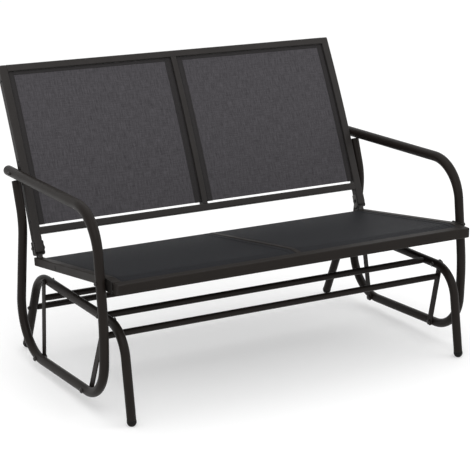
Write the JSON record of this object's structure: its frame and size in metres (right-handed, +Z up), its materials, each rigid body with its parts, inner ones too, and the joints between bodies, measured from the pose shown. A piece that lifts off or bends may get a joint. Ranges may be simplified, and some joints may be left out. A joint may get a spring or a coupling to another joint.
{
  "type": "glider bench",
  "caption": "Outdoor glider bench: steel tube base, swing links inside the arm loops, and a framed mesh sling seat and backrest.",
  "frame": {"origin": "on the floor, under the middle of the bench", "axes": "+X to the viewer's right along the bench, the seat faces -Y, +Z up"},
  "size_m": [1.231, 0.8323, 0.8643],
  "materials": {
    "frame_paint": "satin dark brown powder coat on square tube",
    "tube_paint": "satin dark brown powder coat on round tube",
    "bolt_steel": "dark coated steel",
    "foot_plastic": "matte black",
    "cap_plastic": "matte dark brown",
    "back_mesh": "woven coated mesh",
    "seat_mesh": "woven coated mesh"
  },
  "bodies": {
    "base": {"base_hoop_left": "tube_paint", "foot_front_left": "foot_plastic", "foot_rear_left": "foot_plastic", "top_pivot_bolt_front_left": "bolt_steel", "top_pivot_bolt_rear_left": "bolt_steel", "base_hoop_right": "tube_paint", "foot_front_right": "foot_plastic", "foot_rear_right": "foot_plastic", "top_pivot_bolt_front_right": "bolt_steel", "top_pivot_bolt_rear_right": "bolt_steel", "base_front_rail": "tube_paint", "base_front_rail_bolt_left": "bolt_steel", "base_front_rail_bolt_right": "bolt_steel", "base_rear_rail": "tube_paint", "base_rear_rail_bolt_left": "bolt_steel", "base_rear_rail_bolt_right": "bolt_steel"},
    "front_link": {"front_link_left": "tube_paint", "front_link_right": "tube_paint", "front_link_rail": "tube_paint"},
    "rear_link": {"rear_link_left": "tube_paint", "rear_link_right": "tube_paint", "rear_link_rail": "tube_paint"},
    "swing": {"arm_loop_left": "tube_paint", "armrest_cap_left": "cap_plastic", "low_pivot_bolt_front_left": "bolt_steel", "low_pivot_bolt_rear_left": "bolt_steel", "arm_loop_right": "tube_paint", "armrest_cap_right": "cap_plastic", "low_pivot_bolt_front_right": "bolt_steel", "low_pivot_bolt_rear_right": "bolt_steel", "seat_side_rail_left": "frame_paint", "seat_side_rail_right": "frame_paint", "seat_front_rail": "frame_paint", "seat_rear_rail": "frame_paint", "seat_centre_rail": "frame_paint", "seat_sling_left": "seat_mesh", "seat_sling_right": "seat_mesh", "arm_spacer_left": "cap_plastic", "arm_seat_bolt_left": "bolt_steel", "arm_spacer_right": "cap_plastic", "arm_seat_bolt_right": "bolt_steel", "back_side_rail_left": "frame_paint", "back_side_rail_right": "frame_paint", "back_bottom_rail": "frame_paint", "back_top_rail": "frame_paint", "back_centre_rail": "frame_paint", "back_sling_left": "back_mesh", "back_sling_right": "back_mesh", "arm_back_bolt_left": "bolt_steel", "arm_back_bolt_right": "bolt_steel", "hinge_clevis_left": "bolt_steel", "hinge_bolt_left": "bolt_steel", "hinge_clevis_right": "bolt_steel", "hinge_bolt_right": "bolt_steel"}
  },
  "joints": [
    {"name": "rear_link_swing", "type": "hinge", "parent": "base", "child": "rear_link", "pos_m": [0, 0.14007, 0.2615], "axis": [1, 0, 0], "range_deg": [-12, 10]},
    {"name": "front_link_swing", "type": "hinge", "parent": "base", "child": "front_link", "pos_m": [0, -0.2779, 0.2615], "axis": [1, 0, 0], "range_deg": [-13.03, 10.91]},
    {"name": "seat_rock", "type": "hinge", "parent": "rear_link", "child": "swing", "pos_m": [0, 0.11664, 0.0385], "axis": [1, 0, 0], "range_deg": [-13.02, 15.56]}
  ],
  "couplings": [
    {"joint": "front_link_swing", "follows": "rear_link_swing", "ratio": 1.0605},
    {"joint": "seat_rock", "follows": "rear_link_swing", "ratio": -1.2717}
  ]
}
